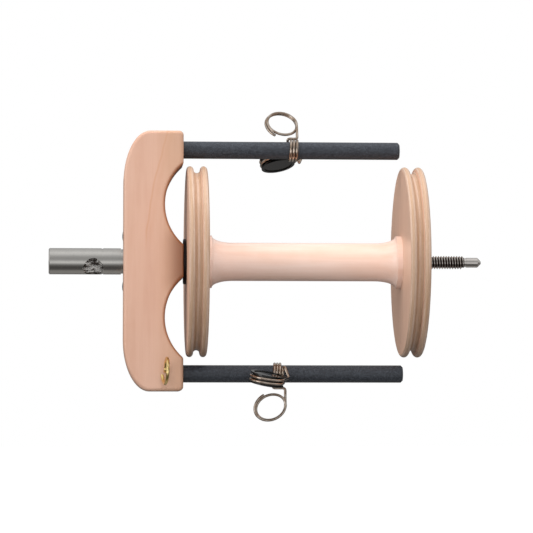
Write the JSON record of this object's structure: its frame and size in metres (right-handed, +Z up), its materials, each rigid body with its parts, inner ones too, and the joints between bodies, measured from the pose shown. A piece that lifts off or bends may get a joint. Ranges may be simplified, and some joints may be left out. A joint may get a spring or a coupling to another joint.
{
  "type": "spinning wheel flyer and bobbin",
  "caption": "Spinning wheel flyer with wooden yoke, steel orifice tube, two arms with sliding spring-wire yarn hooks, threaded spindle and a free-running wooden bobbin.",
  "frame": {"origin": "on the flyer's axis of rotation, in the middle of the front bearing journal of the orifice tube", "axes": "+X along the flyer's axis from the orifice mouth to the spindle tip, +Z up through the upper arm, -Y towards the side that carries the brass yarn eye"},
  "size_m": [0.21, 0.0924, 0.1519],
  "materials": {
    "yoke_wood": "fine sanded and clear lacquered beech",
    "tube_steel": "turned satin steel",
    "plate_steel": "satin",
    "screw_steel": "zinc-plated",
    "spindle_steel": "oiled steel with a rolled thread",
    "arm_coating": "matt fine-textured black powder coat",
    "eye_brass": "polished",
    "washer_black": "black fibre or plastic",
    "barrel_wood": "turned and lacquered beech",
    "flange_wood": "lacquered plywood-like beech with visible layers on the rim",
    "bush_plastic": "natural acetal",
    "spring_wire": "bright spring steel",
    "pad_rubber": "glossy black plastic"
  },
  "bodies": {
    "flyer": {"flyer_yoke": "yoke_wood", "orifice_tube": "tube_steel", "orifice_plate": "plate_steel", "orifice_screws": "screw_steel", "spindle": "spindle_steel", "arm_upper": "arm_coating", "arm_lower": "arm_coating", "yarn_eye": "eye_brass"},
    "washer": {"friction_washer": "washer_black"},
    "bobbin": {"bobbin_barrel": "barrel_wood", "bobbin_front_flange": "flange_wood", "bobbin_rear_flange": "flange_wood", "bobbin_front_bush": "bush_plastic", "bobbin_rear_bush": "bush_plastic"},
    "upper_coil": {"hook_upper_coil": "spring_wire"},
    "upper_guide": {"hook_upper_guide": "spring_wire"},
    "upper_finger": {"hook_upper_finger": "spring_wire", "hook_upper_pad": "pad_rubber"},
    "lower_coil": {"hook_lower_coil": "spring_wire"},
    "lower_guide": {"hook_lower_guide": "spring_wire"},
    "lower_finger": {"hook_lower_finger": "spring_wire", "hook_lower_pad": "pad_rubber"}
  },
  "joints": [
    {"name": "bobbin_pull_off", "type": "slide", "parent": "flyer", "child": "washer", "axis": [1, 0, 0], "range_m": [0, 0.15]},
    {"name": "bobbin_spin", "type": "hinge", "parent": "washer", "child": "bobbin", "pos_m": [0.115, 0, 0], "axis": [1, 0, 0], "continuous": true},
    {"name": "upper_hook_slide", "type": "slide", "parent": "flyer", "child": "upper_coil", "axis": [1, 0, 0], "range_m": [-0.036, 0.046]},
    {"name": "upper_hook_swivel", "type": "hinge", "parent": "upper_coil", "child": "upper_guide", "pos_m": [0.1106, 0, 0.0543], "axis": [1, 0, 0], "range_deg": [-3, 110]},
    {"name": "upper_hook_squeeze", "type": "hinge", "parent": "upper_guide", "child": "upper_finger", "pos_m": [0.1106, 0, 0.0543], "axis": [1, 0, 0], "range_deg": [0, 20], "stiffness_Nm_per_rad": 0.37},
    {"name": "lower_hook_slide", "type": "slide", "parent": "flyer", "child": "lower_coil", "axis": [1, 0, 0], "range_m": [-0.029, 0.055]},
    {"name": "lower_hook_swivel", "type": "hinge", "parent": "lower_coil", "child": "lower_guide", "pos_m": [0.1024, 0, -0.0543], "axis": [1, 0, 0], "range_deg": [-30, 110]},
    {"name": "lower_hook_squeeze", "type": "hinge", "parent": "lower_guide", "child": "lower_finger", "pos_m": [0.1024, 0, -0.0543], "axis": [1, 0, 0], "range_deg": [0, 20], "stiffness_Nm_per_rad": 0.37}
  ]
}
